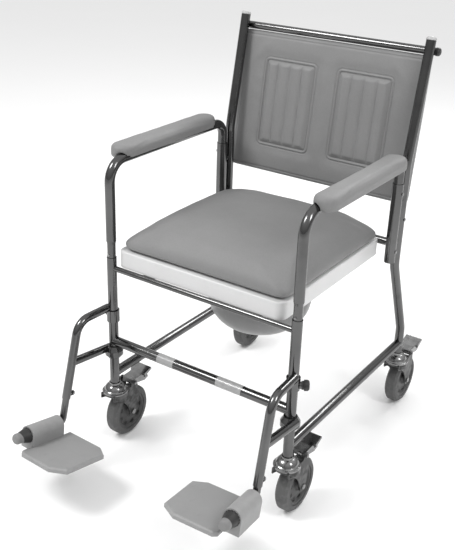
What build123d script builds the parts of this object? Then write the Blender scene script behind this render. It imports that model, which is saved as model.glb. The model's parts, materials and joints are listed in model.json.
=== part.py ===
from build123d import *
from math import cos, radians, sin
import os

# Commode chair on four braked swivel casters, in millimetres.
# +X is the sitter's left, -Y the front, +Z up, and the floor is z = 0.
# The pieces are drawn with the front posts on y = 0, and save() moves them
# so that the origin is the middle of the footprint.

# Overall layout
POST_X = 237.5
FOOTPRINT_CENTRE_Y = 175.0
REAR_CASTER_Y = 541.0
COPE_GAP = 0.1
RUNNING_GAP = 0.05

# Frame tubes
POST_D = 22.2
TUBE_WALL = 1.5
POST_FOOT_Z = 160.0
FRONT_POST_TOP_Z = 481.0
SIDE_RAIL_Z = 185.0
CROSSBAR_Z = 271.0
SEAT_FRONT_BAR_D = 12.7
SEAT_FRONT_BAR_Z = 455.0
SEAT_REAR_BAR_D = 19.0
SEAT_REAR_BAR_Z = 487.0
REAR_POST_Y = 451.5
BACK_BEND_Z = 680.0
BACK_TOP_Y = 504.5
BACK_TOP_Z = 945.0
REAR_POST_BENDS = (60.0, 80.0, 100.0)
PUSH_BAR_D = 17.0
PUSH_BAR_Z = 919.0
PUSH_BAR_REACH = 246.0

# Labels on the front crossbar: centre and width of each
LABELS = ((-82.0, 45.0), (87.5, 65.0))
LABEL_THICKNESS = 0.4

# Arms
ARM_Z = 697.5
ARM_REAR_Y = 418.0
ARM_FRONT_BEND = 45.0
ARM_REAR_BEND = 32.0
SPIGOT_D = 19.0
SPIGOT_TOP_Z = 520.0
SPIGOT_DEPTH = 100.0
SOCKET_D = 25.4
SOCKET_BOTTOM_Z = 455.0
SOCKET_TOP_Z = 645.0
BUTTON_D = 7.0
BUTTON_Z = 487.0
PAD_X = POST_X + 12.0
PAD_WIDTH = 53.0
PAD_FRONT_Y = 33.0
PAD_REAR_Y = 382.0
PAD_BOTTOM_Z = 696.0
PAD_TOP_Z = 725.0

# Seat: the board and its cushion sit a little towards the sitter's right
SEAT_SIDES = (-224.4, 201.5)
CUSHION_SIDES = (-224.4, 208.0)
SEAT_FRONT_Y = 3.0
SEAT_REAR_Y = 437.0
SEAT_BOTTOM_Z = 461.6
SEAT_TOP_Z = 500.0
SEAT_WALL = 4.0
SEAT_CORNER = 20.0
APERTURE_RX = 96.0
APERTURE_RY = 106.0
CUSHION_EDGE_Z = 523.0
CUSHION_TOP_Z = 566.0

# Pan and the rails it slides on
PAN_Y = 245.0
PAN_BOTTOM_Z = 292.0
PAN_RADIUS = 125.0
PAN_WALL = 2.5
PAN_FLANGE = 300.0
PAN_FLANGE_Z = 448.3
PAN_FLANGE_T = 3.0
RAIL_BOTTOM_Z = 446.0
RAIL_TOP_Z = 461.0
RAIL_LIP = 14.0
RAIL_SHEET = 2.0

# Back rest: a leaning panel behind the rear posts
BACK_WIDTH = 478.0
BACK_BOTTOM_Y = 466.5
BACK_BOTTOM_Z = 578.0
BACK_HEIGHT = 331.0
BACK_LEAN = 7.4
BACK_PAD_T = 14.0
BACK_BOARD_T = 8.0

# Leg-rest hangers, drawn for the sitter's left side
HANGER_D = 19.0
HANGER_WALL = 1.4
HANGER_ROOT = (POST_X + 8.0, -8.0, 356.0)
HANGER_KNEE = (POST_X + 13.0, -99.5, 356.0)
HANGER_END = (POST_X + 17.1, -144.8, 181.0)
HANGER_BEND = 38.0
HANGER_BORE = 142.0
BRACE_Z = 264.0
UPPER_RING = (323.0, 351.0)
LOWER_RING = (236.0, 258.5)
STOP_RING = (228.0, 235.7)
KNOB_Z = 332.0
KNOB_TURN = 34.0

# Footrests
STEM_D = 16.0
STEM_WALL = 1.5
STEM_LENGTH = 162.0
STEM_REACH_LEFT = 22.5
STEM_REACH_RIGHT = 58.5
STEM_BEND = 12.0
FOOT_YAW = 5.1
FOOT_NOSE_UP = 9.2
FOOT_ROLL = 2.6
FOOT_PIVOT_B = 14.5
PLATE_DROP = 22.5
PLATE_T = 10.5
PLATE_INNER = 140.5
PLATE_OUTER = 12.0
PLATE_LENGTH = 143.6
HOOD_R = 20.0
HOOD_START = 26.0
HOOD_END = 112.0

# Casters
WHEEL_R = 62.5
TYRE_INNER_R = 47.0
TYRE_WIDTH = 30.0
TRAIL = 40.0
AXLE_R = 4.0
FORK_INNER = 17.5
FORK_OUTER = 20.5
CROWN_Z = 130.0
CROWN_T = 4.0
CROWN_R = 29.0
KING_PIN_R = 6.0
PEDAL_Y = 47.0
PEDAL_Z = 139.0
PEDAL_PIN_R = 3.0

CASTER_PLACES = {
    "front_left": (POST_X, 0.0),
    "front_right": (-POST_X, 0.0),
    "rear_left": (POST_X, REAR_CASTER_Y),
    "rear_right": (-POST_X, REAR_CASTER_Y),
}


def save(piece, label):
    """Move a finished piece to the footprint's own origin and write it as one STEP file."""
    with BuildPart() as placed:
        with Locations((0, -FOOTPRINT_CENTRE_Y, 0)):
            add(piece.part)
    placed.part.label = label
    export_step(placed.part, f"parts/{label}.step")


def mirrored(piece):
    """The same piece for the sitter's right side."""
    with BuildPart() as other:
        mirror(piece.part, about=Plane.YZ)
    return other


def save_pair(piece, label):
    """Write a left-hand piece and its mirror image as two nodes."""
    save(piece, f"{label}_left")
    save(mirrored(piece), f"{label}_right")


def save_group(piece, label):
    """Write a left-hand piece and its mirror image as one node."""
    with BuildPart() as group:
        add(piece.part)
        mirror(piece.part, about=Plane.YZ)
    save(group, label)


def straight_tube(start, end, outer, wall):
    """An open tube from one point to another."""
    run = Vector(*end) - Vector(*start)
    with BuildPart() as tube:
        with BuildSketch(Plane(origin=start, z_dir=run)):
            Circle(outer / 2)
            Circle(outer / 2 - wall, mode=Mode.SUBTRACT)
        extrude(amount=run.length)
    return tube


def bent_tube(points, bends, outer, wall):
    """An open tube along straight runs joined by tangent bends."""
    with BuildPart() as tube:
        with BuildLine() as route:
            FilletPolyline(*points, radius=bends)
        with BuildSketch(Plane(origin=route.line @ 0, z_dir=route.line % 0)):
            Circle(outer / 2)
            Circle(outer / 2 - wall, mode=Mode.SUBTRACT)
        sweep(path=route.line)
    return tube


def cross_tube(y, z, outer):
    """A crossbar welded between the two posts that stand at this y, its ends coped to fit them."""
    tube = straight_tube((-POST_X, y, z), (POST_X, y, z), outer, TUBE_WALL)
    with BuildPart() as bar:
        add(tube.part)
        with BuildSketch(Plane.XY.offset(z - outer)):
            with Locations((-POST_X, y), (POST_X, y)):
                Circle(POST_D / 2 + COPE_GAP)
        extrude(amount=2 * outer, mode=Mode.SUBTRACT)
    return bar


def back_post_y(z):
    """Where the leaning part of a rear post is at height z."""
    lean = (BACK_TOP_Y - REAR_POST_Y) / (BACK_TOP_Z - BACK_BEND_Z)
    return REAR_POST_Y + (z - BACK_BEND_Z) * lean


# ---------------------------------------------------------------- frame


def front_posts():
    post = straight_tube((POST_X, 0, POST_FOOT_Z), (POST_X, 0, FRONT_POST_TOP_Z), POST_D, TUBE_WALL)
    save_pair(post, "front_post")


def rear_posts():
    points = (
        (POST_X, REAR_CASTER_Y, POST_FOOT_Z),
        (POST_X, REAR_CASTER_Y, 229),
        (POST_X, REAR_POST_Y, 435),
        (POST_X, REAR_POST_Y, BACK_BEND_Z),
        (POST_X, BACK_TOP_Y, BACK_TOP_Z),
    )
    save_pair(bent_tube(points, REAR_POST_BENDS, POST_D, TUBE_WALL), "rear_post")


def rear_post_caps():
    lean = (0, BACK_TOP_Y - REAR_POST_Y, BACK_TOP_Z - BACK_BEND_Z)
    with BuildPart() as cap:
        with BuildSketch(Plane(origin=(POST_X, BACK_TOP_Y, BACK_TOP_Z), z_dir=lean)):
            Circle(POST_D / 2 + 0.4)
        extrude(amount=7)
        fillet(cap.edges().sort_by(Axis.Z)[-1], 5.5)
    save_group(cap, "rear_post_caps")


def side_rails():
    tube = straight_tube((POST_X, 0, SIDE_RAIL_Z), (POST_X, REAR_CASTER_Y, SIDE_RAIL_Z), POST_D, TUBE_WALL)
    with BuildPart() as rail:
        add(tube.part)
        with BuildSketch(Plane.XY.offset(SIDE_RAIL_Z - POST_D)):
            with Locations((POST_X, 0), (POST_X, REAR_CASTER_Y)):
                Circle(POST_D / 2 + COPE_GAP)
        extrude(amount=2 * POST_D, mode=Mode.SUBTRACT)
    save_group(rail, "side_rails")


def labels():
    with BuildPart() as bands:
        for centre, width in LABELS:
            with BuildSketch(Plane.YZ.offset(centre - width / 2)):
                with Locations((0, CROSSBAR_Z)):
                    Circle(POST_D / 2 + LABEL_THICKNESS)
                    Circle(POST_D / 2 + RUNNING_GAP, mode=Mode.SUBTRACT)
            extrude(amount=width)
    save(bands, "label_bands")


def push_bar():
    y = back_post_y(PUSH_BAR_Z) + (POST_D + PUSH_BAR_D) / 2 + 0.6
    bar = straight_tube(
        (-PUSH_BAR_REACH, y, PUSH_BAR_Z), (PUSH_BAR_REACH, y, PUSH_BAR_Z), PUSH_BAR_D, TUBE_WALL
    )
    save(bar, "push_bar")
    with BuildPart() as cap:
        with BuildSketch(Plane.YZ.offset(PUSH_BAR_REACH + COPE_GAP)):
            with Locations((y, PUSH_BAR_Z)):
                Circle(9.2)
        extrude(amount=10)
        fillet(cap.edges().sort_by(Axis.X)[-1], 5)
        with BuildSketch(Plane.YZ.offset(PUSH_BAR_REACH - 10)):
            with Locations((y, PUSH_BAR_Z)):
                Circle(PUSH_BAR_D / 2 - TUBE_WALL - RUNNING_GAP)
        extrude(amount=12)
    save_group(cap, "push_bar_caps")


def arm_sockets():
    """A tube for each arm's rear leg, held to the rear post by two welded lugs."""
    with BuildPart() as socket:
        with BuildSketch(Plane.XY.offset(SOCKET_BOTTOM_Z)):
            with Locations((POST_X, ARM_REAR_Y)):
                Circle(SOCKET_D / 2)
        extrude(amount=SOCKET_TOP_Z - SOCKET_BOTTOM_Z)
        with BuildSketch(Plane.XZ.offset(-REAR_POST_Y)):
            with Locations((POST_X, 502), (POST_X, 600)):
                Circle(6)
        extrude(amount=REAR_POST_Y - ARM_REAR_Y)
        with BuildSketch(Plane.XY.offset(SOCKET_BOTTOM_Z)):
            with Locations((POST_X, REAR_POST_Y)):
                Circle(POST_D / 2 + 3 * COPE_GAP)
            with Locations((POST_X, ARM_REAR_Y)):
                Circle(POST_D / 2 + COPE_GAP)
        extrude(amount=SOCKET_TOP_Z - SOCKET_BOTTOM_Z, mode=Mode.SUBTRACT)
    save_group(socket, "arm_sockets")


def frame_rivets():
    """Domed rivet heads on the outer faces of the socket tubes and the rear posts."""
    heads = (
        (ARM_REAR_Y, 482.0, SOCKET_D / 2),
        (ARM_REAR_Y, 622.0, SOCKET_D / 2),
        (REAR_POST_Y, 551.0, POST_D / 2),
    )
    with BuildPart() as rivets:
        for y, z, radius in heads:
            with BuildSketch(Plane.YZ.offset(POST_X + radius - 0.2)):
                with Locations((y, z)):
                    Circle(4)
            extrude(amount=2.6)
        fillet(rivets.faces().filter_by(Plane.YZ).group_by(Axis.X)[-1].edges(), 1.5)
        fillet(rivets.faces().filter_by(Plane.YZ).group_by(Axis.X)[-2].edges(), 1.5)
        for y, z, radius in heads:
            with BuildSketch(Plane.XY.offset(z - 6)):
                with Locations((POST_X, y)):
                    Circle(radius + RUNNING_GAP)
            extrude(amount=12, mode=Mode.SUBTRACT)
    save_group(rivets, "frame_rivets")


def hanger_collars():
    """Stop rings on the front posts, which carry the weight of the swinging hangers."""
    with BuildPart() as ring:
        with BuildSketch(Plane.XY.offset(STOP_RING[0])):
            with Locations((POST_X, 0)):
                Circle(15.5)
                Circle(POST_D / 2 + RUNNING_GAP, mode=Mode.SUBTRACT)
        extrude(amount=STOP_RING[1] - STOP_RING[0])
        chamfer(ring.edges().filter_by(GeomType.CIRCLE).group_by(Axis.Z)[0].sort_by(SortBy.RADIUS)[-1], 1.5)
    save_group(ring, "hanger_collars")


# ---------------------------------------------------------------- back and seat


def back_rest():
    panel = Plane(
        origin=(0, BACK_BOTTOM_Y, BACK_BOTTOM_Z),
        x_dir=(-1, 0, 0),
        z_dir=(0, cos(radians(BACK_LEAN)), -sin(radians(BACK_LEAN))),
    )
    with BuildPart() as pad:
        with BuildSketch(panel):
            with Locations((0, BACK_HEIGHT / 2)):
                RectangleRounded(BACK_WIDTH, BACK_HEIGHT, 14)
        extrude(amount=BACK_PAD_T - COPE_GAP)
        fillet(pad.faces().sort_by(Axis.Y)[0].edges(), 4)
    save(pad, "back_pad")
    with BuildPart() as board:
        with BuildSketch(panel.offset(BACK_PAD_T)):
            with Locations((0, BACK_HEIGHT / 2)):
                RectangleRounded(BACK_WIDTH - 6, BACK_HEIGHT - 6, 12)
        extrude(amount=BACK_BOARD_T)
    save(board, "back_board")


def seat_outline(sides, inset, corner=SEAT_CORNER):
    """A rounded rectangle between two sides, set in by the inset all round."""
    width = sides[1] - sides[0] - 2 * inset
    depth = SEAT_REAR_Y - SEAT_FRONT_Y - 2 * inset
    with Locations(((sides[0] + sides[1]) / 2, (SEAT_FRONT_Y + SEAT_REAR_Y) / 2)):
        RectangleRounded(width, depth, corner)


def seat_board():
    """The plastic commode seat: a skirted tray with a round aperture over the pan."""
    with BuildPart() as board:
        with BuildSketch(Plane.XY.offset(SEAT_BOTTOM_Z)):
            seat_outline(SEAT_SIDES, 0)
        extrude(amount=SEAT_TOP_Z - SEAT_BOTTOM_Z)
        fillet(board.faces().sort_by(Axis.Z)[-1].edges(), 3)
        with BuildSketch(Plane.XY.offset(SEAT_BOTTOM_Z)):
            seat_outline(SEAT_SIDES, SEAT_WALL, SEAT_CORNER - SEAT_WALL)
        extrude(amount=SEAT_TOP_Z - SEAT_WALL - SEAT_BOTTOM_Z, mode=Mode.SUBTRACT)
        with BuildSketch(Plane.XY.offset(SEAT_BOTTOM_Z + 4)):
            with Locations((0, PAN_Y)):
                Ellipse(APERTURE_RX + SEAT_WALL, APERTURE_RY + SEAT_WALL)
        extrude(amount=SEAT_TOP_Z - SEAT_BOTTOM_Z - 6)
        with BuildSketch(Plane.XY.offset(SEAT_BOTTOM_Z)):
            with Locations((0, PAN_Y)):
                Ellipse(APERTURE_RX, APERTURE_RY)
        extrude(amount=SEAT_TOP_Z - SEAT_BOTTOM_Z, mode=Mode.SUBTRACT)
    save(board, "seat_board")


def seat_cushion():
    """The lift-off upholstered pad, crowned, on a base that is set in by a shadow gap."""
    crown = (
        (0, SEAT_CORNER, CUSHION_EDGE_Z),
        (10, 40, 539),
        (30, 60, 552),
        (70, 85, 562),
        (130, 80, CUSHION_TOP_Z),
    )
    with BuildPart() as cushion:
        with BuildSketch(Plane.XY.offset(SEAT_TOP_Z + 0.3)):
            seat_outline(CUSHION_SIDES, 12, SEAT_CORNER - 12)
        extrude(amount=5)
        with BuildSketch(Plane.XY.offset(SEAT_TOP_Z + 3.5)):
            seat_outline(CUSHION_SIDES, 0)
        extrude(amount=CUSHION_EDGE_Z - SEAT_TOP_Z - 3.5)
        for inset, corner, z in crown:
            with BuildSketch(Plane.XY.offset(z)):
                seat_outline(CUSHION_SIDES, inset, corner)
        loft()
    save(cushion, "seat_cushion")


def bowl():
    """The round-bottomed pan, with a square flange that slides on the rails."""
    with BuildPart() as pan:
        with BuildSketch(Plane.XZ.offset(-PAN_Y)):
            with BuildLine():
                Polyline((0, PAN_FLANGE_Z), (0, PAN_BOTTOM_Z), (55, PAN_BOTTOM_Z))
                ThreePointArc((55, PAN_BOTTOM_Z), (103, PAN_BOTTOM_Z + 28), (121, PAN_BOTTOM_Z + 80))
                Polyline((121, PAN_BOTTOM_Z + 80), (PAN_RADIUS, PAN_FLANGE_Z), (0, PAN_FLANGE_Z))
            make_face()
        revolve(axis=Axis((0, PAN_Y, 0), (0, 0, 1)))
        offset(amount=-PAN_WALL, openings=pan.faces().sort_by(Axis.Z)[-1])
        with BuildSketch(Plane.XY.offset(PAN_FLANGE_Z)):
            with Locations((0, PAN_Y)):
                RectangleRounded(PAN_FLANGE, PAN_FLANGE, 30)
                Circle(PAN_RADIUS - PAN_WALL, mode=Mode.SUBTRACT)
        extrude(amount=PAN_FLANGE_T)
    save(pan, "bowl")


def bowl_rails():
    """Two channels under the seat, from the front bar to the rear bar, open towards each other."""
    inner = PAN_FLANGE / 2 + 1 - RAIL_LIP
    web = PAN_FLANGE / 2 + 1
    front = SEAT_FRONT_BAR_D / 2 + COPE_GAP
    rear = REAR_POST_Y - SEAT_REAR_BAR_D / 2 - COPE_GAP
    with BuildPart() as rail:
        with BuildSketch(Plane.XZ.offset(-front)):
            with BuildLine():
                Polyline(
                    (inner, RAIL_BOTTOM_Z),
                    (web + RAIL_SHEET, RAIL_BOTTOM_Z),
                    (web + RAIL_SHEET, RAIL_TOP_Z),
                    (inner, RAIL_TOP_Z),
                    (inner, RAIL_TOP_Z - RAIL_SHEET),
                    (web, RAIL_TOP_Z - RAIL_SHEET),
                    (web, RAIL_BOTTOM_Z + RAIL_SHEET),
                    (inner, RAIL_BOTTOM_Z + RAIL_SHEET),
                    close=True,
                )
            make_face()
        extrude(amount=-(rear - front))
        with BuildSketch(Plane.XZ.offset(-rear)):
            with Locations((web + RAIL_SHEET - 6, (RAIL_BOTTOM_Z + SEAT_REAR_BAR_Z) / 2)):
                Rectangle(12, SEAT_REAR_BAR_Z - RAIL_BOTTOM_Z)
        extrude(amount=3)
        with BuildSketch(Plane.XZ.offset(-rear - 1)):
            with Locations((0, (RAIL_BOTTOM_Z + RAIL_TOP_Z) / 2)):
                Rectangle(2 * web, RAIL_TOP_Z - RAIL_BOTTOM_Z - 2 * RAIL_SHEET)
        extrude(amount=10, mode=Mode.SUBTRACT)
    save_group(rail, "bowl_rails")


# ---------------------------------------------------------------- arms


def arm_tubes():
    """The hoop of an arm; its front leg is swaged down to plug into the front post."""
    collar_z = SPIGOT_TOP_Z + 4
    hoop = bent_tube(
        (
            (POST_X, 0, collar_z),
            (POST_X, 0, ARM_Z),
            (POST_X, ARM_REAR_Y, ARM_Z),
            (POST_X, ARM_REAR_Y, SOCKET_TOP_Z - SPIGOT_DEPTH),
        ),
        (ARM_FRONT_BEND, ARM_REAR_BEND),
        POST_D,
        TUBE_WALL,
    )
    outer = POST_D / 2
    with BuildPart() as arm:
        add(hoop.part)
        with BuildSketch(Plane.XZ):
            with BuildLine():
                Polyline(
                    (POST_X + SPIGOT_D / 2 - TUBE_WALL, FRONT_POST_TOP_Z - SPIGOT_DEPTH),
                    (POST_X + SPIGOT_D / 2, FRONT_POST_TOP_Z - SPIGOT_DEPTH),
                    (POST_X + SPIGOT_D / 2, SPIGOT_TOP_Z - 7),
                    (POST_X + outer, SPIGOT_TOP_Z),
                    (POST_X + outer, collar_z),
                    (POST_X + outer - TUBE_WALL, collar_z),
                    (POST_X + outer - TUBE_WALL, SPIGOT_TOP_Z),
                    (POST_X + SPIGOT_D / 2 - TUBE_WALL, SPIGOT_TOP_Z - 7),
                    close=True,
                )
            make_face()
        revolve(axis=Axis((POST_X, 0, 0), (0, 0, 1)))
        with BuildSketch(Plane.XZ):
            with Locations((POST_X, BUTTON_Z)):
                Circle(BUTTON_D / 2 + RUNNING_GAP)
        extrude(amount=SPIGOT_D, mode=Mode.SUBTRACT)
    save_pair(arm, "arm_tube")


def arm_buttons():
    """The sprung button in the swaged leg, just above the mouth of the front post."""
    with BuildPart() as button:
        with BuildSketch(Plane.XZ.offset(4)):
            with Locations((POST_X, BUTTON_Z)):
                Circle(BUTTON_D / 2)
        extrude(amount=8)
        fillet(button.edges().sort_by(Axis.Y)[0], 2)
        with BuildSketch(Plane.XZ.offset(4)):
            with Locations((POST_X, BUTTON_Z)):
                Circle(BUTTON_D / 2 + 1.2)
        extrude(amount=1.4)
    save_pair(button, "arm_button")


def arm_pads():
    """A padded arm rest with round ends, grooved underneath to sit over the arm tube."""
    with BuildPart() as pad:
        with BuildSketch(Plane.XY.offset(PAD_BOTTOM_Z)):
            with Locations((PAD_X, (PAD_FRONT_Y + PAD_REAR_Y) / 2)):
                SlotOverall(PAD_REAR_Y - PAD_FRONT_Y, PAD_WIDTH, rotation=90)
        extrude(amount=PAD_TOP_Z - PAD_BOTTOM_Z)
        fillet(pad.faces().sort_by(Axis.Z)[-1].edges(), 12)
        fillet(pad.faces().sort_by(Axis.Z)[0].edges(), 3)
        with BuildSketch(Plane.XZ.offset(-PAD_REAR_Y - 5)):
            with Locations((POST_X, ARM_Z)):
                Circle(POST_D / 2 + COPE_GAP)
            with Locations((POST_X, ARM_Z - POST_D / 2)):
                Rectangle(POST_D + 2 * COPE_GAP, POST_D)
        extrude(amount=PAD_REAR_Y - PAD_FRONT_Y + 10, mode=Mode.SUBTRACT)
    save_pair(pad, "arm_pad")


# ---------------------------------------------------------------- leg rests


HANGER_AXIS = (Vector(*HANGER_END) - Vector(*HANGER_KNEE)).normalized()
KNOB_DIRECTION = (cos(radians(KNOB_TURN)), sin(radians(KNOB_TURN)), 0)


def on_hanger(z):
    """The point of the hanger's down tube at height z."""
    return Vector(*HANGER_END) + HANGER_AXIS * ((z - HANGER_END[2]) / HANGER_AXIS.Z)


def hangers():
    """A swing-away hanger: bent tube, brace, two rings round the front post and a plunger boss."""
    tube = bent_tube((HANGER_ROOT, HANGER_KNEE, HANGER_END), HANGER_BEND, HANGER_D, HANGER_WALL)
    brace_front = on_hanger(BRACE_Z)
    brace_rear = Vector(POST_X + 14, -2, (LOWER_RING[0] + LOWER_RING[1]) / 2 + 1)
    brace_run = brace_rear - brace_front
    low, high = LOWER_RING
    with BuildPart() as hanger:
        add(tube.part)
        with BuildSketch(Plane(origin=brace_front, z_dir=brace_run)):
            Circle(HANGER_D / 2)
        extrude(amount=brace_run.length)
        with BuildSketch(Plane.XY.offset(UPPER_RING[0])):
            with Locations((POST_X, 0)):
                Circle(14.6)
        extrude(amount=UPPER_RING[1] - UPPER_RING[0])
        with BuildSketch(Plane.XY.offset(low)):
            with Locations((POST_X, 0)):
                Circle(21)
        extrude(amount=(high - low) / 2)
        with BuildSketch(Plane.XY.offset((low + high) / 2)):
            with Locations((POST_X, 0)):
                Circle(21)
        extrude(amount=(high - low) / 2, taper=30)
        with BuildSketch(Plane(origin=(POST_X, 0, KNOB_Z), z_dir=KNOB_DIRECTION)):
            Circle(7.5)
        extrude(amount=17)
        with BuildSketch(Plane(origin=(POST_X, 0, KNOB_Z), z_dir=KNOB_DIRECTION)):
            Circle(3 + RUNNING_GAP)
        extrude(amount=20, mode=Mode.SUBTRACT)
        with BuildSketch(Plane.XY.offset(low - 5)):
            with Locations((POST_X, 0)):
                Circle(POST_D / 2 + COPE_GAP)
        extrude(amount=HANGER_ROOT[2] - low + 30, mode=Mode.SUBTRACT)
        with BuildSketch(Plane(origin=HANGER_END, z_dir=-HANGER_AXIS)):
            Circle(HANGER_D / 2 - HANGER_WALL)
        extrude(amount=HANGER_BORE, mode=Mode.SUBTRACT)
    save_pair(hanger, "hanger")


def release_knobs():
    """The sprung plunger that locks a hanger; its pin stops just short of the post."""
    with BuildPart() as knob:
        plane = Plane(origin=(POST_X, 0, KNOB_Z), z_dir=KNOB_DIRECTION)
        with BuildSketch(plane.offset(POST_D / 2 + 0.4)):
            Circle(3)
        extrude(amount=10)
        with BuildSketch(plane.offset(17.4)):
            Circle(9)
        extrude(amount=5)
        with BuildSketch(plane.offset(22.4)):
            Circle(11.5)
        extrude(amount=11)
        rim = knob.edges().filter_by(GeomType.CIRCLE).sort_by(lambda edge: (edge.center() - plane.origin).length)
        fillet(rim[-1], 5)
    save_pair(knob, "release_knob")


def height_bolts():
    """The thumb bolt behind the hanger's lower end, which clamps the stem."""
    centre = on_hanger(190)
    outward = Vector(0, 1, 0) - HANGER_AXIS * HANGER_AXIS.Y
    plane = Plane(origin=centre, z_dir=outward)
    with BuildPart() as bolt:
        with BuildSketch(plane.offset(HANGER_D / 2 - 2)):
            Circle(4)
        extrude(amount=8)
        with BuildSketch(plane.offset(HANGER_D / 2 + 4.5)):
            Circle(6)
        extrude(amount=9)
        fillet(bolt.faces().sort_by(Axis.Y)[-1].edges(), 4.5)
        with BuildSketch(Plane(origin=HANGER_END, z_dir=-HANGER_AXIS)):
            Circle(HANGER_D / 2 + RUNNING_GAP)
        extrude(amount=60, mode=Mode.SUBTRACT)
    save_pair(bolt, "height_bolt")


def foot_plane(reach):
    """The footrest's own plane: origin on the pivot, X inwards, Y forwards, Z off the sole."""
    yaw, nose, roll = radians(FOOT_YAW), radians(FOOT_NOSE_UP), radians(FOOT_ROLL)
    forward = Vector(sin(yaw) * cos(nose), -cos(yaw) * cos(nose), sin(nose))
    level = Vector(-cos(yaw), -sin(yaw), 0)
    upward = level.cross(forward)
    inward = level * cos(roll) + upward * sin(roll)
    pivot = Vector(*HANGER_END) + HANGER_AXIS * reach
    return Plane(origin=pivot - forward * FOOT_PIVOT_B, x_dir=inward, z_dir=inward.cross(forward))


def footrest_stem(plane, reach):
    """The telescoping stem, which turns forwards at its foot to become the pivot."""
    top = Vector(*HANGER_END) - HANGER_AXIS * (STEM_LENGTH - reach)
    pivot = Vector(*HANGER_END) + HANGER_AXIS * reach
    shank_end = plane.origin + plane.y_dir * (HOOD_END - 4)
    return bent_tube((top, pivot, shank_end), STEM_BEND, STEM_D, STEM_WALL)


def footplate(plane):
    """A flat plate with clipped inner corners and a round-topped barrel along its outer edge."""
    forward_face = Plane(origin=plane.origin, x_dir=plane.x_dir, z_dir=plane.y_dir)
    with BuildPart() as plate:
        with BuildSketch(plane.offset(-PLATE_DROP - PLATE_T)):
            with BuildLine():
                Polyline(
                    (PLATE_OUTER, 0),
                    (PLATE_INNER - 29, 0),
                    (PLATE_INNER, 18),
                    (PLATE_INNER, PLATE_LENGTH - 22),
                    (PLATE_INNER - 34, PLATE_LENGTH),
                    (PLATE_OUTER + 8, PLATE_LENGTH),
                    (PLATE_OUTER, PLATE_LENGTH - 8),
                    close=True,
                )
            make_face()
        extrude(amount=PLATE_T)
        top_face = plate.faces().sort_by(Axis(plane.origin, plane.z_dir))[-1]
        chamfer(top_face.edges(), 3)
        with BuildSketch(forward_face.offset(HOOD_START)):
            Circle(HOOD_R)
            with Locations((0, (PLATE_DROP + PLATE_T) / 2)):
                Rectangle(2 * HOOD_R, PLATE_DROP + PLATE_T)
        extrude(amount=HOOD_END - HOOD_START)
        with BuildSketch(forward_face.offset(HOOD_START)):
            Circle(STEM_D / 2 + RUNNING_GAP)
        extrude(amount=HOOD_END - HOOD_START, mode=Mode.SUBTRACT)
    return plate


def pivot_plug(plane):
    """The ribbed tapering plug and round cap that close the front of the barrel."""
    face = Plane(origin=plane.origin, x_dir=plane.x_dir, z_dir=plane.y_dir)
    start = face.offset(HOOD_END + COPE_GAP)
    length = 22.0
    with BuildPart() as plug:
        with BuildSketch(start):
            Circle(17.5)
        with BuildSketch(start.offset(length)):
            Circle(12)
        loft()
        with BuildSketch(start):
            with PolarLocations(18.2, 16):
                Circle(2)
        extrude(amount=length - 2, taper=-3, mode=Mode.SUBTRACT)
        with BuildSketch(start.offset(length)):
            Circle(12)
        extrude(amount=14)
        tip = plug.faces().sort_by(Axis(plane.origin, plane.y_dir))[-1]
        fillet(tip.edges(), 7)
    return plug


def footrests():
    for side, reach in (("left", STEM_REACH_LEFT), ("right", STEM_REACH_RIGHT)):
        plane = foot_plane(reach)
        pieces = {
            "footrest_stem": footrest_stem(plane, reach),
            "footplate": footplate(plane),
            "pivot_plug": pivot_plug(plane),
        }
        for label, piece in pieces.items():
            save(piece if side == "left" else mirrored(piece), f"{label}_{side}")


# ---------------------------------------------------------------- casters


def save_casters(piece, label):
    """Write one caster piece at each of the four swivel axes, as four nodes."""
    for place, (x, y) in CASTER_PLACES.items():
        with BuildPart() as placed:
            with Locations((x, y, 0)):
                add(piece.part)
        save(placed, f"{label}_{place}")


def caster_heads():
    """The fixed chrome raceway and stem under each post, with the king pin's riveted foot."""
    base = CROWN_Z + CROWN_T + 0.3
    stem_r = POST_D / 2 - TUBE_WALL - RUNNING_GAP
    with BuildPart() as head:
        with BuildSketch(Plane.XZ):
            with BuildLine():
                Polyline(
                    (0, CROWN_Z - 3.3),
                    (10, CROWN_Z - 3.3),
                    (10, CROWN_Z - 0.3),
                    (KING_PIN_R, CROWN_Z - 0.3),
                    (KING_PIN_R, base),
                    (CROWN_R + 1, base),
                    (CROWN_R + 1, base + 3),
                    (CROWN_R - 2, base + 4.5),
                    (CROWN_R - 2, base + 7),
                    (CROWN_R - 4, base + 8.5),
                )
                ThreePointArc((CROWN_R - 4, base + 8.5), (20, base + 16.5), (13.5, base + 20.5))
                Polyline(
                    (13.5, base + 20.5),
                    (13.5, POST_FOOT_Z - COPE_GAP),
                    (stem_r, POST_FOOT_Z - COPE_GAP),
                    (stem_r, POST_FOOT_Z + 30),
                    (0, POST_FOOT_Z + 30),
                    (0, CROWN_Z - 3.3),
                )
            make_face()
        revolve(axis=Axis.Z)
    with BuildPart() as heads:
        with Locations(*[(x, y, 0) for x, y in CASTER_PLACES.values()]):
            add(head.part)
    save(heads, "caster_heads")


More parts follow.
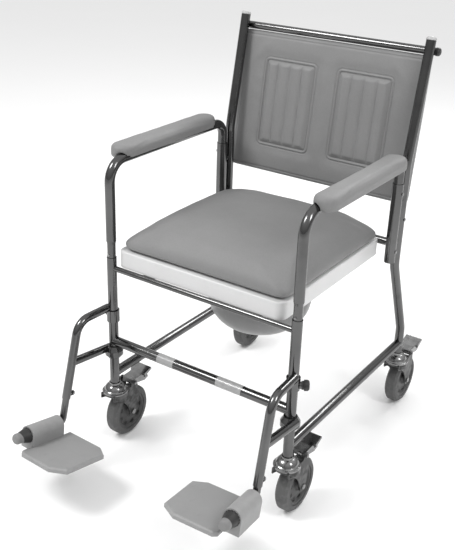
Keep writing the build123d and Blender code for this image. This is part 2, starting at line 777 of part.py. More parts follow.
def caster_forks():
    """A pressed fork: a round crown over two swept cheeks that carry the axle and the pedal pin."""
    crown_top = CROWN_Z + CROWN_T
    with BuildPart() as fork:
        with BuildSketch(Plane.YZ.offset(-FORK_OUTER)):
            with BuildLine():
                Polyline((-27, crown_top), (-28, 121))
                ThreePointArc((-28, 121), (4, 106), (TRAIL - 11.5, WHEEL_R - 4))
                ThreePointArc((TRAIL - 11.5, WHEEL_R - 4), (TRAIL, WHEEL_R - 12), (TRAIL + 12, WHEEL_R))
                ThreePointArc((TRAIL + 12, WHEEL_R), (TRAIL + 21, 106), (PEDAL_Y + 8, PEDAL_Z))
                ThreePointArc(
                    (PEDAL_Y + 8, PEDAL_Z), (PEDAL_Y + 1, PEDAL_Z + 7.5), (PEDAL_Y - 7, PEDAL_Z + 4)
                )
                Polyline((PEDAL_Y - 7, PEDAL_Z + 4), (34, crown_top), (-27, crown_top))
            make_face()
        extrude(amount=2 * FORK_OUTER)
        with BuildSketch(Plane.XY.offset(crown_top - 12)):
            Circle(CROWN_R)
        extrude(amount=12)
        with BuildSketch(Plane.YZ.offset(-FORK_INNER)):
            with Locations((30, CROWN_Z - 60)):
                Rectangle(140, 120)
            with Locations((62, CROWN_Z)):
                Rectangle(60, 60)
        extrude(amount=2 * FORK_INNER, mode=Mode.SUBTRACT)
        with BuildSketch(Plane.XY.offset(CROWN_Z - 6)):
            Circle(KING_PIN_R + RUNNING_GAP)
        extrude(amount=20, mode=Mode.SUBTRACT)
        with BuildSketch(Plane.YZ.offset(-FORK_OUTER - 1)):
            with Locations((TRAIL, WHEEL_R)):
                Circle(AXLE_R + RUNNING_GAP)
            with Locations((PEDAL_Y, PEDAL_Z)):
                Circle(PEDAL_PIN_R + RUNNING_GAP)
        extrude(amount=2 * FORK_OUTER + 2, mode=Mode.SUBTRACT)
    save_casters(fork, "caster_fork")


def caster_wheels():
    """A dished hub with a rubber tyre round it."""
    axis = Axis((0, TRAIL, WHEEL_R), (1, 0, 0))
    half = TYRE_WIDTH / 2
    rim = TYRE_INNER_R - RUNNING_GAP
    with BuildPart() as hub:
        with BuildSketch(Plane(origin=(0, TRAIL, WHEEL_R), x_dir=(1, 0, 0), z_dir=(0, -1, 0))):
            with BuildLine():
                Polyline(
                    (-half - 1, AXLE_R + RUNNING_GAP),
                    (half + 1, AXLE_R + RUNNING_GAP),
                    (half + 1, 12),
                    (half - 4, 15),
                    (half - 6, 36),
                    (half - 1.5, 41),
                    (half - 1.5, rim),
                    (-half + 1.5, rim),
                    (-half + 1.5, 41),
                    (-half + 6, 36),
                    (-half + 4, 15),
                    (-half - 1, 12),
                    close=True,
                )
            make_face()
        revolve(axis=axis)
    save_casters(hub, "caster_wheel")
    with BuildPart() as tyre:
        with BuildSketch(Plane(origin=(0, TRAIL, WHEEL_R), x_dir=(1, 0, 0), z_dir=(0, -1, 0))):
            with BuildLine():
                Polyline((-half + 5, WHEEL_R - 0.6), (-half, WHEEL_R - 6), (-half, TYRE_INNER_R))
                Line((-half, TYRE_INNER_R), (half, TYRE_INNER_R))
                Polyline((half, TYRE_INNER_R), (half, WHEEL_R - 6), (half - 5, WHEEL_R - 0.6))
                ThreePointArc((half - 5, WHEEL_R - 0.6), (0, WHEEL_R), (-half + 5, WHEEL_R - 0.6))
            make_face()
        revolve(axis=axis)
    save_casters(tyre, "caster_tyre")


def caster_axles():
    """The wheel bolt with a domed head on each end, and the pedal's cross pin above it."""
    with BuildPart() as axle:
        for y, z, radius, head in (
            (TRAIL, WHEEL_R, AXLE_R, 6.5),
            (PEDAL_Y, PEDAL_Z, PEDAL_PIN_R, 4.5),
        ):
            with BuildSketch(Plane.YZ.offset(-FORK_OUTER - 1)):
                with Locations((y, z)):
                    Circle(radius)
            extrude(amount=2 * FORK_OUTER + 2)
            for x in (-FORK_OUTER - 4, FORK_OUTER + 0.1):
                with BuildSketch(Plane.YZ.offset(x)):
                    with Locations((y, z)):
                        Circle(head)
                extrude(amount=3.9)
        fillet(axle.faces().filter_by(Plane.YZ).group_by(Axis.X)[-1].edges(), 2)
        fillet(axle.faces().filter_by(Plane.YZ).group_by(Axis.X)[0].edges(), 2)
    save_casters(axle, "caster_axle")


def brake_pedals():
    """A two-lobed foot pedal: step on the upper lobe to lock, on the lower one to release."""
    half = FORK_INNER - 0.5
    with BuildPart() as pedal:
        with BuildSketch(Plane.YZ.offset(-half)):
            with BuildLine():
                Polyline(
                    (PEDAL_Y - 5, PEDAL_Z - 3),
                    (66, 131),
                    (88, 126),
                    (101, 130),
                    (100, 135),
                    (88, 134),
                    (84, 137),
                    (109, 150),
                    (107, 155),
                    (74, 146),
                    (PEDAL_Y - 1, PEDAL_Z + 6),
                    close=True,
                )
            make_face()
        extrude(amount=2 * half)
        with BuildSketch(Plane.YZ.offset(-half - 5)):
            with BuildLine():
                Polyline((84, 139.9), (109, 150), (107, 155), (82, 148), close=True)
            make_face()
        extrude(amount=2 * half + 10)
        with BuildSketch(Plane.YZ.offset(-half)):
            with Locations((PEDAL_Y, PEDAL_Z)):
                Circle(PEDAL_PIN_R + RUNNING_GAP)
        extrude(amount=2 * half, mode=Mode.SUBTRACT)
    save_casters(pedal, "brake_pedal")


def main():
    os.makedirs("parts", exist_ok=True)
    front_posts()
    rear_posts()
    rear_post_caps()
    side_rails()
    save(cross_tube(0, CROSSBAR_Z, POST_D), "front_crossbar")
    save(cross_tube(0, SEAT_FRONT_BAR_Z, SEAT_FRONT_BAR_D), "seat_front_bar")
    save(cross_tube(REAR_POST_Y, SEAT_REAR_BAR_Z, SEAT_REAR_BAR_D), "seat_rear_bar")
    labels()
    push_bar()
    arm_sockets()
    frame_rivets()
    hanger_collars()
    back_rest()
    seat_board()
    seat_cushion()
    bowl()
    bowl_rails()
    arm_tubes()
    arm_buttons()
    arm_pads()
    hangers()
    release_knobs()
    height_bolts()
    footrests()
    caster_heads()
    caster_forks()
    caster_wheels()
    caster_axles()
    brake_pedals()


main()
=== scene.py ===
import json
import math

import bpy
from mathutils import Matrix, Vector, noise

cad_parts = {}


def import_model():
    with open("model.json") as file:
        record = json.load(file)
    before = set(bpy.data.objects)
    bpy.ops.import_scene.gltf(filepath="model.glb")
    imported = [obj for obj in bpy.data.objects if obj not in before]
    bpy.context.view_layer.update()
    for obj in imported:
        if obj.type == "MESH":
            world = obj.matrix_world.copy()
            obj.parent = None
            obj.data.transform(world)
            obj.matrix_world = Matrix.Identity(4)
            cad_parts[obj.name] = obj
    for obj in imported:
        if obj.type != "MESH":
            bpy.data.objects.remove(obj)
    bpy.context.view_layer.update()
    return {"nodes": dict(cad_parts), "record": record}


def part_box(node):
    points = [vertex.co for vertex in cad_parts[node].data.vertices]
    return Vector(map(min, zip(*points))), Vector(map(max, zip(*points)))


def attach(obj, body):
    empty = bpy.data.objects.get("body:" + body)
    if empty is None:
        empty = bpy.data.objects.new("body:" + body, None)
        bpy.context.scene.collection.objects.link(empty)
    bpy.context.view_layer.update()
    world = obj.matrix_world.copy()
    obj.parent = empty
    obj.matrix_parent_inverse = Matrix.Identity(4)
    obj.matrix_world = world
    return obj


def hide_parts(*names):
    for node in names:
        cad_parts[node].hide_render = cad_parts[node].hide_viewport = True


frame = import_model()
NODES = frame["nodes"]
SLOT_OF = {row["node"]: row["material_slot"] for row in frame["record"]["subparts"]}
BODIES = frame["record"]["behaviour"]["bodies"]
BODY_OF = {node: body for body, nodes in BODIES.items() for node in nodes}

# ---------------------------------------------------------------- materials


RANGE_SOCKETS = ("From Min", "From Max", "To Min", "To Max")


class Finish:
    """A Principled material whose colour, roughness and bump all come from procedural nodes."""

    def __init__(self, name, colour, **constants):
        self.material = bpy.data.materials.new(name)
        self.material.use_nodes = True
        self.tree = self.material.node_tree
        self.shader = self.tree.nodes["Principled BSDF"]
        for socket, value in constants.items():
            self.shader.inputs[socket.replace("_", " ")].default_value = value
        self.place = self.node("ShaderNodeTexCoord").outputs["Object"]
        self.colour = self.node("ShaderNodeRGB").outputs[0]
        self.colour.default_value = (*colour[:3], 1)
        self.bump = None

    def node(self, kind, **settings):
        made = self.tree.nodes.new(kind)
        for key, value in settings.items():
            setattr(made, key, value)
        return made

    def link(self, source, target):
        self.tree.links.new(source, target)

    def put(self, target, value):
        if hasattr(value, "is_output"):
            self.link(value, target)
        else:
            target.default_value = value

    def math(self, operation, a, b=0.0):
        made = self.node("ShaderNodeMath", operation=operation)
        for socket, value in zip(made.inputs, (a, b)):
            self.put(socket, value)
        return made.outputs[0]

    def stretched(self, stretch):
        made = self.node("ShaderNodeMapping")
        self.link(self.place, made.inputs["Vector"])
        made.inputs["Scale"].default_value = stretch
        return made.outputs[0]

    def noise(self, scale, detail=3.0, roughness=0.55, stretch=None):
        made = self.node("ShaderNodeTexNoise")
        self.link(self.stretched(stretch) if stretch else self.place, made.inputs["Vector"])
        made.inputs["Scale"].default_value = scale
        made.inputs["Detail"].default_value = detail
        made.inputs["Roughness"].default_value = roughness
        return made.outputs["Fac"]

    def cells(self, scale):
        made = self.node("ShaderNodeTexVoronoi", feature="F1")
        self.link(self.place, made.inputs["Vector"])
        made.inputs["Scale"].default_value = scale
        return made.outputs["Distance"]

    def spread(self, value, low, high, to_low=0.0, to_high=1.0):
        made = self.node("ShaderNodeMapRange")
        self.put(made.inputs["Value"], value)
        for socket, number in zip(RANGE_SOCKETS, (low, high, to_low, to_high)):
            made.inputs[socket].default_value = number
        return made.outputs[0]

    def axis(self, name):
        made = self.node("ShaderNodeSeparateXYZ")
        self.link(self.place, made.inputs[0])
        return made.outputs[name]

    def tint(self, mask, colour):
        """Blend the colour towards another where the mask is 1."""
        made = self.node("ShaderNodeMix", data_type="RGBA")
        self.put(made.inputs["Factor"], mask)
        self.link(self.colour, made.inputs["A"])
        made.inputs["B"].default_value = (*colour, 1)
        self.colour = made.outputs["Result"]

    def vary(self, scale, amount, detail=3.0, stretch=None):
        """Make the colour lighter and darker in soft patches."""
        made = self.node("ShaderNodeHueSaturation")
        patches = self.noise(scale, detail, stretch=stretch)
        self.link(self.spread(patches, 0.3, 0.7, 1 - amount, 1 + amount), made.inputs["Value"])
        self.link(self.colour, made.inputs["Color"])
        self.colour = made.outputs["Color"]

    def rough(self, low, high, scale, detail=4.0, stretch=None):
        patches = self.noise(scale, detail, stretch=stretch)
        self.link(self.spread(patches, 0.3, 0.7, low, high), self.shader.inputs["Roughness"])

    def relief(self, height, distance, strength=1.0):
        """Add one layer of bump; layers chain onto each other."""
        made = self.node("ShaderNodeBump")
        made.inputs["Distance"].default_value = distance
        made.inputs["Strength"].default_value = strength
        self.link(height, made.inputs["Height"])
        if self.bump is not None:
            self.link(self.bump, made.inputs["Normal"])
        self.bump = made.outputs["Normal"]

    def worn_edges(self, colour, amount):
        """Paler rubbed edges, where the surface is convex."""
        pointed = self.node("ShaderNodeNewGeometry").outputs["Pointiness"]
        edge = self.spread(pointed, 0.52, 0.6, 0, amount)
        self.tint(self.math("MULTIPLY", edge, self.spread(self.noise(60), 0.4, 0.6)), colour)

    def done(self):
        self.link(self.colour, self.shader.inputs["Base Color"])
        if self.bump is not None:
            self.link(self.bump, self.shader.inputs["Normal"])
        return self.material


def chromed_tube(name):
    """Plated tube: a dark mirror with faint smudges and the slight waviness of drawn tube; the dark base
    colour is painted shade, standing in for dark surroundings seen in the plating.
    """
    # Painted reflection: the plating's colour is set far darker than real chrome, so the tubes show dark
    # reflections.
    made = Finish(name, (0.12, 0.12, 0.12), Metallic=1.0)
    made.vary(9, 0.12)
    smudges = made.spread(made.noise(22, 5), 0.55, 0.75)
    made.tint(made.math("MULTIPLY", smudges, 0.3), (0.05, 0.05, 0.05))
    made.rough(0.09, 0.19, 35, 5)
    made.relief(made.noise(500, 2), 0.00008, 0.35)
    made.relief(made.noise(40, 2), 0.0003, 0.3)
    return made.done()


def bright_fittings(name):
    """Plated pressings and rivets, darker than real plating as painted shade for dark reflections, with grime
    where hands and floors leave it.
    """
    # Painted reflection: a base colour well below real plating, so the fittings look darker.
    made = Finish(name, (0.24, 0.24, 0.24), Metallic=1.0)
    made.vary(25, 0.15)
    grime = made.spread(made.noise(60, 4), 0.5, 0.75)
    made.tint(made.math("MULTIPLY", grime, 0.5), (0.08, 0.08, 0.08))
    made.rough(0.12, 0.28, 70, 4)
    made.relief(made.noise(300, 3), 0.00012, 0.5)
    return made.done()


def vinyl(name):
    """Coated upholstery cloth: a fine pebbled grain with softly worn, slightly shinier patches."""
    made = Finish(
        name, (0.2, 0.2, 0.2), Sheen_Weight=0.03, Sheen_Roughness=0.5, Coat_Weight=0.02, Coat_Roughness=0.5
    )
    made.vary(7, 0.05, 4)
    made.vary(260, 0.03, 2)
    pores = made.cells(950)
    made.tint(made.spread(pores, 0.0, 0.25, 0.16, 0), (0.1, 0.1, 0.1))
    made.rough(0.5, 0.66, 11, 5)
    made.relief(pores, 0.00035, 0.35)
    made.relief(made.noise(450, 3), 0.0003, 0.25)
    made.relief(made.noise(28, 3), 0.0012, 0.25)
    return made.done()


def moulding(name, colour, low, high, grain=700, amount=0.04, rubbed=0.25):
    """Moulded plastic: spark-eroded grain, faint flow marks and scuffs, lightly rubbed edges."""
    made = Finish(name, colour, Specular_IOR_Level=0.45)
    made.vary(12, amount)
    scuffs = made.spread(made.noise(55, 6, stretch=(1, 4, 1)), 0.62, 0.74)
    paler = tuple(min(0.9, c * 1.25 + 0.02) for c in colour)
    made.tint(made.math("MULTIPLY", scuffs, 0.12), paler)
    made.worn_edges(paler, rubbed)
    made.rough(low, high, 30, 5)
    made.relief(made.noise(grain, 2), 0.00012, 0.6)
    made.relief(made.noise(20, 2), 0.0006, 0.15)
    return made


def grey_cap(name):
    return moulding(name, (0.42, 0.42, 0.42), 0.4, 0.55).done()


def black_plastic(name):
    return moulding(name, (0.02, 0.02, 0.02), 0.3, 0.5, rubbed=0.6).done()


def back_panel(name):
    """Vinyl-faced hardboard behind the pad, with a close fabric-like emboss."""
    made = moulding(name, (0.2, 0.2, 0.2), 0.5, 0.65, 900)
    made.relief(made.cells(420), 0.0003, 0.3)
    return made.done()


def white_plastic(name):
    return moulding(name, (0.64, 0.64, 0.64), 0.28, 0.42, 500, 0.012, 0.0).done()


def pan_plastic(name):
    """Grey pan plastic, with faint vertical draw marks and a scratched, slightly stained bottom."""
    made = moulding(name, (0.22, 0.22, 0.22), 0.3, 0.45, 600)
    scratches = made.spread(made.noise(120, 4, stretch=(1, 1, 0.08)), 0.6, 0.7)
    made.tint(made.math("MULTIPLY", scratches, 0.2), (0.32, 0.32, 0.32))
    return made.done()


def foot_plastic(name):
    """Light grey footplate plastic, scuffed by shoes on its upper face."""
    made = moulding(name, (0.27, 0.27, 0.27), 0.4, 0.58, 450, 0.03, 0.2)
    scuffs = made.spread(made.noise(40, 8, 0.7, (2, 0.6, 1)), 0.6, 0.68)
    made.tint(made.math("MULTIPLY", scuffs, 0.2), (0.18, 0.18, 0.18))
    return made.done()


def rubber(name):
    made = Finish(name, (0.09, 0.09, 0.09), Specular_IOR_Level=0.35)
    made.vary(30, 0.15)
    dust = made.spread(made.noise(90, 5), 0.5, 0.75)
    made.tint(made.math("MULTIPLY", dust, 0.35), (0.2, 0.2, 0.2))
    made.rough(0.55, 0.8, 60, 4)
    made.relief(made.noise(350, 3), 0.0002, 0.6)
    return made.done()


def dark_fork(name):
    made = Finish(name, (0.02, 0.02, 0.02), Metallic=0.2, Specular_IOR_Level=0.4)
    made.vary(25, 0.25)
    made.worn_edges((0.2, 0.2, 0.2), 0.4)
    made.rough(0.28, 0.45, 40, 4)
    made.relief(made.noise(600, 2), 0.0001, 0.5)
    made.relief(made.noise(80, 2), 0.0003, 0.3)
    return made.done()


def rail_steel(name):
    made = Finish(name, (0.4, 0.4, 0.4), Metallic=1.0, Anisotropic=0.4)
    made.vary(12, 0.08)
    made.vary(400, 0.1, stretch=(1, 0.03, 1))
    made.rough(0.3, 0.42, 300, stretch=(1, 0.05, 1))
    made.relief(made.noise(900, 2, stretch=(1, 0.03, 1)), 0.00006, 0.5)
    return made.done()


def label_film(name):
    """A blank wrapped label of clear-coated film, faintly streaked."""
    made = Finish(name, (0.33, 0.33, 0.33), Coat_Weight=0.5, Coat_Roughness=0.12)
    made.vary(70, 0.1)
    made.vary(400, 0.06, stretch=(0.05, 1, 1))
    made.rough(0.25, 0.38, 60)
    made.relief(made.noise(90, 2), 0.0002, 0.3)
    return made.done()


def hub_plastic(name, centre, axle):
    """A moulded hub with a ring of lightening slots just inside its rim, darkened almost to black as painted
    shade in their depth.
    """
    made = moulding(name, (0.05, 0.05, 0.05), 0.35, 0.5)
    dy = made.math("SUBTRACT", made.axis("Y"), centre.y)
    dz = made.math("SUBTRACT", made.axis("Z"), centre.z)
    radius = made.math("SQRT", made.math("ADD", made.math("MULTIPLY", dy, dy), made.math("MULTIPLY", dz, dz)))
    turn = made.math("COSINE", made.math("MULTIPLY", made.math("ARCTAN2", dz, dy), 9.0))
    ring = made.math("MULTIPLY", made.spread(radius, 0.0285, 0.0305), made.spread(radius, 0.0385, 0.0365))
    slots = made.math("MULTIPLY", ring, made.spread(turn, 0.0, 0.3))
    # Painted shade: the slots are tinted almost black for the shade inside them.
    made.tint(slots, (0.008, 0.008, 0.008))
    made.tint(made.math("MULTIPLY", made.spread(radius, axle * 3, axle * 2.4), 0.5), (0.3, 0.3, 0.3))
    made.relief(made.math("SUBTRACT", 1.0, slots), 0.003, 0.8)
    return made.done()


def plug_rubber(name, front_y):
    """Black ribbed plug whose round tip is a paler cap."""
    made = moulding(name, (0.022, 0.022, 0.022), 0.35, 0.55, 500, rubbed=0.5)
    cap = made.spread(made.axis("Y"), front_y + 0.0165, front_y + 0.0155)
    made.tint(cap, (0.2, 0.2, 0.2))
    return made.done()


MAKERS = {
    "chromed_tube": chromed_tube,
    "bright_fittings": bright_fittings,
    "grey_cap_plastic": grey_cap,
    "black_plastic": black_plastic,
    "label_film": label_film,
    "grey_vinyl": vinyl,
    "back_panel": back_panel,
    "white_plastic": white_plastic,
    "grey_pan_plastic": pan_plastic,
    "rail_steel": rail_steel,
    "light_grey_plastic": foot_plastic,
    "dark_fork_steel": dark_fork,
    "caster_rubber": rubber,
}
MATERIALS = {slot: make(slot) for slot, make in MAKERS.items()}


def middle_of(node):
    lo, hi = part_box(node)
    return (lo + hi) / 2


def finish_of(node):
    """Most nodes share their slot's finish; hubs and plugs carry marks that are placed on each one."""
    if node.startswith("caster_wheel"):
        return hub_plastic(f"hub_{node}", middle_of(node), 0.004)
    if node.startswith("pivot_plug"):
        return plug_rubber(f"rubber_{node}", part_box(node)[0].y)
    return MATERIALS[SLOT_OF[node]]


for node, thing in NODES.items():
    thing.data.materials.clear()
    thing.data.materials.append(finish_of(node))

# ---------------------------------------------------------------- soft pieces


def smoothstep(low, high, value):
    t = max(0.0, min(1.0, (value - low) / (high - low)))
    return t * t * (3 - 2 * t)


def new_piece(name, vertices, faces):
    mesh = bpy.data.meshes.new(name)
    mesh.from_pydata(vertices, [], faces)
    mesh.validate()
    thing = bpy.data.objects.new(name, mesh)
    bpy.context.collection.objects.link(thing)
    return thing


def finish_piece(thing, slot, node):
    thing.data.polygons.foreach_set("use_smooth", [True] * len(thing.data.polygons))
    thing.data.materials.clear()
    thing.data.materials.append(MATERIALS[slot])
    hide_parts(node)
    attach(thing, BODY_OF[node])


def apply_modifier(thing, name):
    bpy.ops.object.select_all(action="DESELECT")
    thing.select_set(True)
    bpy.context.view_layer.objects.active = thing
    bpy.ops.object.modifier_apply(modifier=name)


def remesh(thing, size):
    modifier = thing.modifiers.new("remesh", "REMESH")
    modifier.mode = "VOXEL"
    modifier.voxel_size = size
    apply_modifier(thing, "remesh")


INFLATE_FRAMES = 20


def inflate(thing, pressure, cap, held):
    """Blow the cover up with a cloth simulation, by cap at most; vertices that held() picks stay put."""
    before = [v.co.copy() for v in thing.data.vertices]
    group = thing.vertex_groups.new(name="held")
    group.add([i for i, co in enumerate(before) if held(co)], 1.0, "REPLACE")
    cloth = thing.modifiers.new("cloth", "CLOTH")
    cloth.settings.use_pressure = True
    cloth.settings.uniform_pressure_force = pressure
    cloth.settings.vertex_group_mass = "held"
    cloth.settings.effector_weights.gravity = 0
    cloth.settings.quality = 4
    cloth.settings.tension_stiffness = 12
    cloth.settings.compression_stiffness = 12
    cloth.settings.bending_stiffness = 0.4
    cloth.collision_settings.use_collision = False
    cloth.point_cache.frame_start = 1
    cloth.point_cache.frame_end = INFLATE_FRAMES
    for step in range(1, INFLATE_FRAMES + 1):
        bpy.context.scene.frame_set(step)
    apply_modifier(thing, "cloth")
    thing.vertex_groups.clear()
    for vertex, start in zip(thing.data.vertices, before):
        move = vertex.co - start
        if move.length > cap:
            vertex.co = start + move * (cap / move.length)


def relax(thing, factor, repeats):
    modifier = thing.modifiers.new("relax", "SMOOTH")
    modifier.factor = factor
    modifier.iterations = repeats
    apply_modifier(thing, "relax")


def subdivide(thing):
    modifier = thing.modifiers.new("subdivide", "SUBSURF")
    modifier.levels = 1
    modifier.render_levels = 1
    apply_modifier(thing, "subdivide")


def rounded_ring(lo, hi, inset, corner, z, steps=12):
    """A rounded rectangle, inset from the box, as a ring of points at one height."""
    x0, x1, y0, y1 = lo.x + inset, hi.x - inset, lo.y + inset, hi.y - inset
    ring = []
    for cx, cy, start in (
        (x1 - corner, y1 - corner, 0),
        (x0 + corner, y1 - corner, 90),
        (x0 + corner, y0 + corner, 180),
        (x1 - corner, y0 + corner, 270),
    ):
        for step in range(steps + 1):
            angle = math.radians(start + 90 * step / steps)
            ring.append((cx + corner * math.cos(angle), cy + corner * math.sin(angle), z))
    return ring


def loft(name, rings):
    """A closed skin through rings of equal count, capped at both ends."""
    count = len(rings[0])
    vertices = [point for ring in rings for point in ring]
    faces = [tuple(reversed(range(count))), tuple(range((len(rings) - 1) * count, len(rings) * count))]
    for level in range(len(rings) - 1):
        below, above = level * count, (level + 1) * count
        for i in range(count):
            j = (i + 1) % count
            faces.append((below + i, below + j, above + j, above + i))
    return new_piece(name, vertices, faces)


# The seat cover's rings, from its hem up to its crown: inset, corner radius, height above the hem.
CUSHION_RINGS = (
    (0.014, 0.018, 0.0004),
    (0.011, 0.02, 0.0035),
    (0.004, 0.024, 0.0052),
    (0.001, 0.026, 0.010),
    (0.001, 0.028, 0.017),
    (0.005, 0.033, 0.026),
    (0.016, 0.042, 0.0365),
    (0.036, 0.056, 0.0465),
    (0.072, 0.075, 0.0545),
    (0.12, 0.07, 0.0595),
)
CUSHION_HEM = 0.006
CORNER_SAG = 0.005
SIDE_SWELL = 0.003
SEAT_RIPPLE = 0.0012


def seat_cushion():
    """The crowned seat cover, full over its foam and drawn down at its corners."""
    lo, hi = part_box("seat_cushion")
    base = lo.z
    rings = [rounded_ring(lo, hi, inset, corner, base + z) for inset, corner, z in CUSHION_RINGS]
    thing = loft("seat_cushion_cover", rings)
    remesh(thing, 0.005)
    relax(thing, 0.5, 10)
    inflate(thing, 4.0, 0.007, lambda co: co.z < base + CUSHION_HEM)
    relax(thing, 0.5, 24)
    middle, half = (lo + hi) / 2, (hi - lo) / 2
    for vertex in thing.data.vertices:
        co = vertex.co
        u, v = (co.x - middle.x) / half.x, (co.y - middle.y) / half.y
        up = smoothstep(base + CUSHION_HEM, base + 0.03, co.z)
        co.z -= up * CORNER_SAG * min(1.0, abs(u * v)) ** 3
        co.z += up * SIDE_SWELL * (1 - abs(u)) * smoothstep(0.3, 0.9, abs(v))
        co.z += up * SIDE_SWELL * (1 - abs(v)) * smoothstep(0.3, 0.9, abs(u))
        co.z += up * SEAT_RIPPLE * noise.noise(co * 14)
        co.z = max(co.z, base)
    subdivide(thing)
    finish_piece(thing, "grey_vinyl", "seat_cushion")


# The back cover, in metres. Heights are measured up the leaning pad from its lower edge.
LEAN = math.radians(7.4)
PAD_THICKNESS = 0.0139
COVER_FULLNESS = 0.008
COVER_CORNER = 0.014
EDGE_ROLL = 0.011
EDGE_DROP = 0.0085
EDGE_SEAM_INSET = 0.0095
POST_INNER_X = 0.228
CROWN = 0.0055
PANEL_X = 0.098
PANEL_MIDDLE = 0.171
PANEL_HALF_WIDTH = 0.073
PANEL_HALF_HEIGHT = 0.107
PANEL_BORDER = 0.0075
FLUTES = 4
FLUTED_WIDTH = 0.131
FLUTE_RISE = 0.005


def rect_distance(x, z, half_x, half_z, corner):
    """Signed distance to a rounded rectangle, negative inside."""
    qx, qz = abs(x) - half_x + corner, abs(z) - half_z + corner
    return math.hypot(max(qx, 0), max(qz, 0)) + min(max(qx, qz), 0) - corner


def groove(distance, width):
    return math.exp(-((distance / width) ** 2))


def flutes(u, s, inside, centre):
    """Upright padded ribs that flatten out at the panel's ends; inside is the distance from its seam."""
    rib = FLUTED_WIDTH / FLUTES
    from_side = u + FLUTED_WIDTH / 2
    wander = 0.0011 * noise.noise(Vector((round(from_side / rib) * 3.1, s * 22, centre * 9)))
    place = (from_side + wander) / rib
    across = abs(place - math.floor(place) - 0.5) * 2
    full = smoothstep(PANEL_BORDER, 0.019, inside)
    return FLUTE_RISE * full * math.sqrt(max(0.0, 1 - across**2.2)) - 0.0006 * (1 - full)


def sewn_panel(x, s, centre, ripple):
    """One fluted panel: the cover sinks towards its seam, with a stitched border inside the seam."""
    u = x - centre
    outside = rect_distance(u, s - PANEL_MIDDLE, PANEL_HALF_WIDTH, PANEL_HALF_HEIGHT, COVER_CORNER)
    out = -0.0034 * math.exp(-((max(outside, 0) / 0.014) ** 2))
    out -= 0.0021 * groove(outside + 0.0005, 0.0013)
    out += 0.0012 * groove(outside + 0.0035, 0.0022)
    out -= 0.0022 * groove(outside + PANEL_BORDER, 0.0014)
    if outside < -PANEL_BORDER:
        out += flutes(u, s, -outside, centre)
    return out + 0.0009 * ripple * groove(outside - 0.01, 0.016)


def corner_fold(x, s, height):
    """A soft slanting fold below each upper corner."""
    along = (abs(x) - 0.175) * 0.7 + (s - height + 0.04) * 0.7
    return 0.0014 * groove(along, 0.012) * smoothstep(0.13, 0.18, abs(x)) * smoothstep(0.24, 0.28, s)


def back_relief(x, s, width, height):
    """How far the cover stands in front of the pad's flat front."""
    edge = -rect_distance(x, s - height / 2, width / 2, height / 2, COVER_CORNER)
    fall = 0.0
    if edge <= EDGE_ROLL:
        fall = EDGE_DROP * (1 - math.sqrt(max(0.0, 1 - (1 - edge / EDGE_ROLL) ** 2)))
    between_posts = smoothstep(0.0, 0.022, POST_INNER_X - abs(x))
    crown = (1 - (2 * x / width) ** 4) * (1 - (2 * s / height - 1) ** 4)
    out = -fall + between_posts * CROWN * max(0.0, crown)
    out -= 0.0022 * groove(edge - EDGE_SEAM_INSET, 0.0016)
    ripple = noise.noise(Vector((x * 38, s * 38, 2.0)))
    for centre in (-PANEL_X, PANEL_X):
        out += sewn_panel(x, s, centre, ripple)
    out += 0.0009 * noise.noise(Vector((x * 9, s * 9, 7.0))) * between_posts
    return out + between_posts * corner_fold(x, s, height)


def to_disc(x, z, half_x, half_z, corner):
    """Pull the grid's square corners round onto the pad's rounded ones."""
    qx, qz = (abs(x) - half_x + corner) / corner, (abs(z) - half_z + corner) / corner
    if qx <= 0 or qz <= 0:
        return x, z
    rx, rz = qx * math.sqrt(1 - qz * qz / 2), qz * math.sqrt(1 - qx * qx / 2)
    return (
        math.copysign(half_x - corner + rx * corner, x),
        math.copysign(half_z - corner + rz * corner, z),
    )


def sheet_faces(columns, rows):
    """The faces of a front and a rear sheet of one grid, and of the wall that joins their rims."""
    stride = columns + 1
    rear = stride * (rows + 1)
    faces = []
    for row in range(rows):
        for column in range(columns):
            a = row * stride + column
            faces.append((a, a + 1, a + 1 + stride, a + stride))
            faces.append((rear + a + stride, rear + a + 1 + stride, rear + a + 1, rear + a))
    rim = list(range(columns))
    rim += [columns + row * stride for row in range(rows)]
    rim += [rows * stride + columns - column for column in range(columns)]
    rim += [(rows - row) * stride for row in range(rows)]
    for i, a in enumerate(rim):
        b = rim[(i + 1) % len(rim)]
        faces.append((b, a, rear + a, rear + b))
    return faces


def back_pad():
    """The leaning back cover, a little fuller than its pad, with two fluted panels on its front."""
    lo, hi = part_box("back_pad")
    width = hi.x - lo.x + COVER_FULLNESS
    height = (hi.z - lo.z - PAD_THICKNESS * math.sin(LEAN)) / math.cos(LEAN) + COVER_FULLNESS / 2
    origin = Vector((-COVER_FULLNESS / 2, lo.y, lo.z + PAD_THICKNESS * math.sin(LEAN)))
    up = Vector((0, math.sin(LEAN), math.cos(LEAN)))
    forward = Vector((0, -math.cos(LEAN), math.sin(LEAN)))
    step = 0.0016
    columns, rows = round(width / step), round(height / step)
    front, rear = [], []
    for row in range(rows + 1):
        for column in range(columns + 1):
            x, z = width * (column / columns - 0.5), height * (row / rows - 0.5)
            x, z = to_disc(x, z, width / 2, height / 2, COVER_CORNER)
            s = z + height / 2
            place = origin + Vector((x, 0, 0)) + up * s
            front.append(place + forward * back_relief(x, s, width, height))
            rear.append(place + forward * (0.0004 - PAD_THICKNESS))
    thing = new_piece("back_pad_cover", front + rear, sheet_faces(columns, rows))
    finish_piece(thing, "grey_vinyl", "back_pad")


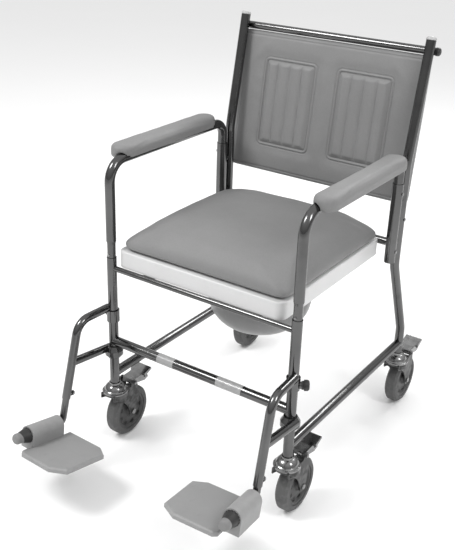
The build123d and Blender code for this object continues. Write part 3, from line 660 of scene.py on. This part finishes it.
def arm_pad(side):
    """An arm pad's cover: the CAD solid's own shape, puffed above the tube it wraps."""
    node = f"arm_pad_{side}"
    source = NODES[node]
    thing = bpy.data.objects.new(f"{node}_cover", source.data.copy())
    bpy.context.collection.objects.link(thing)
    lo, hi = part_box(node)
    remesh(thing, 0.0028)
    relax(thing, 0.5, 6)
    inflate(thing, 3.0, 0.0015, lambda co: co.z < lo.z + 0.013)
    for vertex in thing.data.vertices:
        co = vertex.co
        up = smoothstep(lo.z + 0.012, hi.z, co.z)
        co.z += 0.0006 * up * noise.noise(co * 30)
    subdivide(thing)
    finish_piece(thing, "grey_vinyl", node)


seat_cushion()
back_pad()
for side in ("left", "right"):
    arm_pad(side)

# ---------------------------------------------------------------- stage


FLOOR_REACH = 30


def stage_floor():
    mesh = bpy.data.meshes.new("studio_floor")
    corners = [(FLOOR_REACH * x, FLOOR_REACH * y, 0) for x, y in ((-1, -1), (1, -1), (1, 1), (-1, 1))]
    mesh.from_pydata(corners, [], [(0, 1, 2, 3)])
    floor = bpy.data.objects.new("studio_floor", mesh)
    bpy.context.collection.objects.link(floor)
    paper = Finish("studio_paper", (0.96, 0.96, 0.96), Roughness=0.9)
    paper.vary(1.5, 0.004)
    mesh.materials.append(paper.done())


def area_light(name, place, target, size, power):
    data = bpy.data.lights.new(name, "AREA")
    data.shape = "RECTANGLE"
    data.size, data.size_y = size
    data.energy = power
    light = bpy.data.objects.new(name, data)
    light.location = place
    light.rotation_euler = (Vector(target) - Vector(place)).to_track_quat("-Z", "Y").to_euler()
    bpy.context.collection.objects.link(light)


def world():
    """A white room that is brighter overhead than at the horizon."""
    made = bpy.data.worlds.new("studio")
    made.use_nodes = True
    nodes, links = made.node_tree.nodes, made.node_tree.links
    nodes["Background"].inputs["Color"].default_value = (1, 1, 1, 1)
    height = nodes.new("ShaderNodeSeparateXYZ")
    links.new(nodes.new("ShaderNodeTexCoord").outputs["Generated"], height.inputs[0])
    glow = nodes.new("ShaderNodeMapRange")
    links.new(height.outputs["Z"], glow.inputs["Value"])
    for socket, number in zip(RANGE_SOCKETS, (0.0, 0.8, 0.35, 0.95)):
        glow.inputs[socket].default_value = number
    links.new(glow.outputs[0], nodes["Background"].inputs["Strength"])
    bpy.context.scene.world = made


VIEW_AZIMUTH = math.radians(33.71)
VIEW_ELEVATION = math.radians(25.3)
VIEW_ROLL = math.radians(1.97)
VIEW_PLACE = (0.9644, -1.3395, 1.2883)  # from the floor below the line of the front posts
SENSOR_WIDTH = 36
FOCAL_LENGTH = 58.084


def camera():
    """A view from the front and the sitter's left, looking down, with a slight roll."""
    azimuth, elevation, roll = VIEW_AZIMUTH, VIEW_ELEVATION, VIEW_ROLL
    back = Vector(
        (
            math.sin(azimuth) * math.cos(elevation),
            -math.cos(azimuth) * math.cos(elevation),
            math.sin(elevation),
        )
    )
    right = Vector((math.cos(azimuth), math.sin(azimuth), 0))
    up = back.cross(right)
    across = right * math.cos(roll) + up * math.sin(roll)
    upright = -right * math.sin(roll) + up * math.cos(roll)
    data = bpy.data.cameras.new("view")
    data.sensor_fit = "AUTO"
    data.sensor_width = SENSOR_WIDTH
    data.lens = FOCAL_LENGTH
    data.clip_start, data.clip_end = 0.05, 100
    thing = bpy.data.objects.new("view", data)
    place = Vector(VIEW_PLACE) + Vector((0, middle_of("front_post_left").y, 0))
    turn = Matrix((across, upright, back)).transposed().to_4x4()
    thing.matrix_world = Matrix.Translation(place) @ turn
    bpy.context.collection.objects.link(thing)
    bpy.context.scene.camera = thing


stage_floor()
world()
area_light("key", (-1.3, -1.5, 2.9), (0, 0, 0.5), (0.9, 0.9), 50)
area_light("fill", (2.4, -0.4, 2.6), (0, 0, 0.5), (0.6, 1.2), 28)
area_light("back", (0.3, 2.4, 2.6), (0, 0, 0.6), (1.6, 0.6), 36)
camera()
bpy.context.scene.view_settings.view_transform = "Standard"
bpy.context.scene.view_settings.look = "None"
